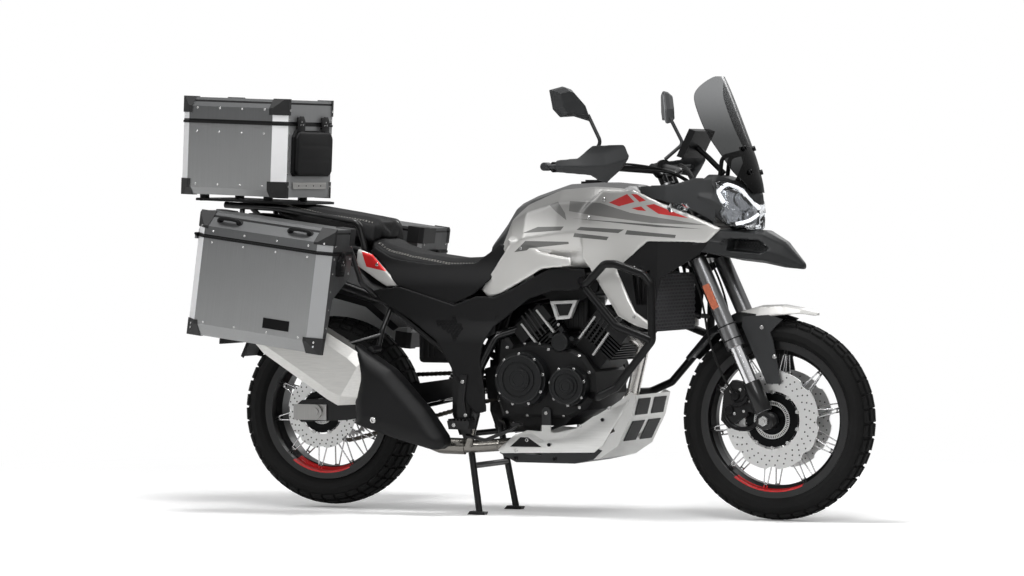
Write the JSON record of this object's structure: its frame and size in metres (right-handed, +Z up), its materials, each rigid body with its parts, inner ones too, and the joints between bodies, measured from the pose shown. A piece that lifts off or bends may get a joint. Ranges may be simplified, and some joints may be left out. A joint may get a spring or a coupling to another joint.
{
  "type": "adventure touring motorcycle",
  "caption": "Adventure touring motorcycle with spoked wheels, crash bars, aluminium side cases and top case, on its centre stand.",
  "frame": {"origin": "on the floor under the middle of the overall box", "axes": "+X forward, +Y to the rider's left, +Z up"},
  "size_m": [2.4247, 0.986, 1.44],
  "materials": {
    "bare_steel": "satin",
    "black_plastic": "matt",
    "case_alu": "brushed",
    "chain_steel": "oiled",
    "chrome": "polished",
    "cover_grey": "satin",
    "disc_steel": "ground",
    "engine_black": "satin",
    "fork_grey": "gloss",
    "frame_black": "satin",
    "grey_plastic": "matt",
    "lamp_lens": "gloss",
    "panel_silver": "gloss",
    "rim_black": "gloss",
    "seal_rubber": "matt",
    "seat_vinyl": "matt",
    "silencer_alu": "satin",
    "skid_alu": "brushed",
    "smoked_screen": "gloss",
    "steel_pipe": "satin",
    "swingarm_black": "satin",
    "tail_lens": "gloss",
    "tank_silver": "gloss",
    "tyre_rubber": "matt"
  },
  "bodies": {
    "chassis": {"beak": "grey_plastic", "case_fittings": "black_plastic", "case_seals": "seal_rubber", "crash_bars": "frame_black", "display": "black_plastic", "drive_chain": "chain_steel", "engine_case": "engine_black", "engine_covers": "cover_grey", "engine_cylinders": "engine_black", "exhaust_pipes": "steel_pipe", "exhaust_shield": "black_plastic", "filler_cap": "black_plastic", "footrests": "frame_black", "fuel_tank": "tank_silver", "headlamp": "lamp_lens", "inner_panels": "black_plastic", "luggage_racks": "frame_black", "main_frame": "frame_black", "nose_fairing": "grey_plastic", "pannier_left": "case_alu", "pannier_right": "case_alu", "pillion_seat": "seat_vinyl", "radiator": "black_plastic", "rear_axle": "bare_steel", "rear_caliper": "engine_black", "rear_mudguard": "black_plastic", "rear_shock": "frame_black", "rider_seat": "seat_vinyl", "screen_mount": "black_plastic", "side_panels": "panel_silver", "silencer": "silencer_alu", "skid_plate": "skid_alu", "swingarm": "swingarm_black", "tail_lamp": "tail_lens", "topcase": "case_alu", "turn_signals": "lamp_lens", "windshield": "smoked_screen"},
    "steering": {"triple_clamps": "frame_black", "fork_tubes": "fork_grey", "fork_legs": "chrome", "handlebar": "frame_black", "hand_controls": "black_plastic", "hand_guards": "grey_plastic", "mirrors": "black_plastic", "front_mudguard": "panel_silver", "fork_guards": "grey_plastic", "front_calipers": "engine_black"},
    "front_wheel": {"front_tyre": "tyre_rubber", "front_rim": "rim_black", "front_discs": "disc_steel"},
    "rear_wheel": {"rear_tyre": "tyre_rubber", "rear_rim": "rim_black", "rear_disc": "disc_steel", "rear_sprocket": "bare_steel"},
    "centre_stand": {"centre_stand": "frame_black"},
    "side_stand": {"side_stand": "frame_black"},
    "pannier_lid_right": {"pannier_lid_right": "case_alu"},
    "pannier_lid_left": {"pannier_lid_left": "case_alu"},
    "topcase_lid": {"topcase_lid": "case_alu"}
  },
  "joints": [
    {"name": "steering_head", "type": "hinge", "parent": "chassis", "child": "steering", "pos_m": [0.56117, 0, 0.94889], "axis": [-0.4226, 0, 0.9063], "range_deg": [-34, 34]},
    {"name": "front_wheel_axle", "type": "hinge", "parent": "steering", "child": "front_wheel", "pos_m": [0.886, 0, 0.328], "axis": [0, 1, 0], "continuous": true},
    {"name": "rear_wheel_axle", "type": "hinge", "parent": "chassis", "child": "rear_wheel", "pos_m": [-0.714, 0, 0.328], "axis": [0, 1, 0], "continuous": true},
    {"name": "centre_stand_pivot", "type": "hinge", "parent": "chassis", "child": "centre_stand", "pos_m": [-0.16, 0, 0.282], "axis": [0, 1, 0], "range_deg": [0, 89]},
    {"name": "side_stand_pivot", "type": "hinge", "parent": "chassis", "child": "side_stand", "pos_m": [-0.04, 0.176, 0.276], "axis": [0, -0.9397, -0.342], "range_deg": [0, 100]},
    {"name": "pannier_lid_hinge_right", "type": "hinge", "parent": "chassis", "child": "pannier_lid_right", "pos_m": [-1.00026, -0.389, 0.92694], "axis": [0, -1, 0], "range_deg": [0, 100]},
    {"name": "pannier_lid_hinge_left", "type": "hinge", "parent": "chassis", "child": "pannier_lid_left", "pos_m": [-1.00026, 0.358, 0.92694], "axis": [0, -1, 0], "range_deg": [0, 100]},
    {"name": "topcase_lid_hinge", "type": "hinge", "parent": "chassis", "child": "topcase_lid", "pos_m": [-1.20315, 0, 1.30667], "axis": [0, -1, 0], "range_deg": [0, 95]}
  ]
}
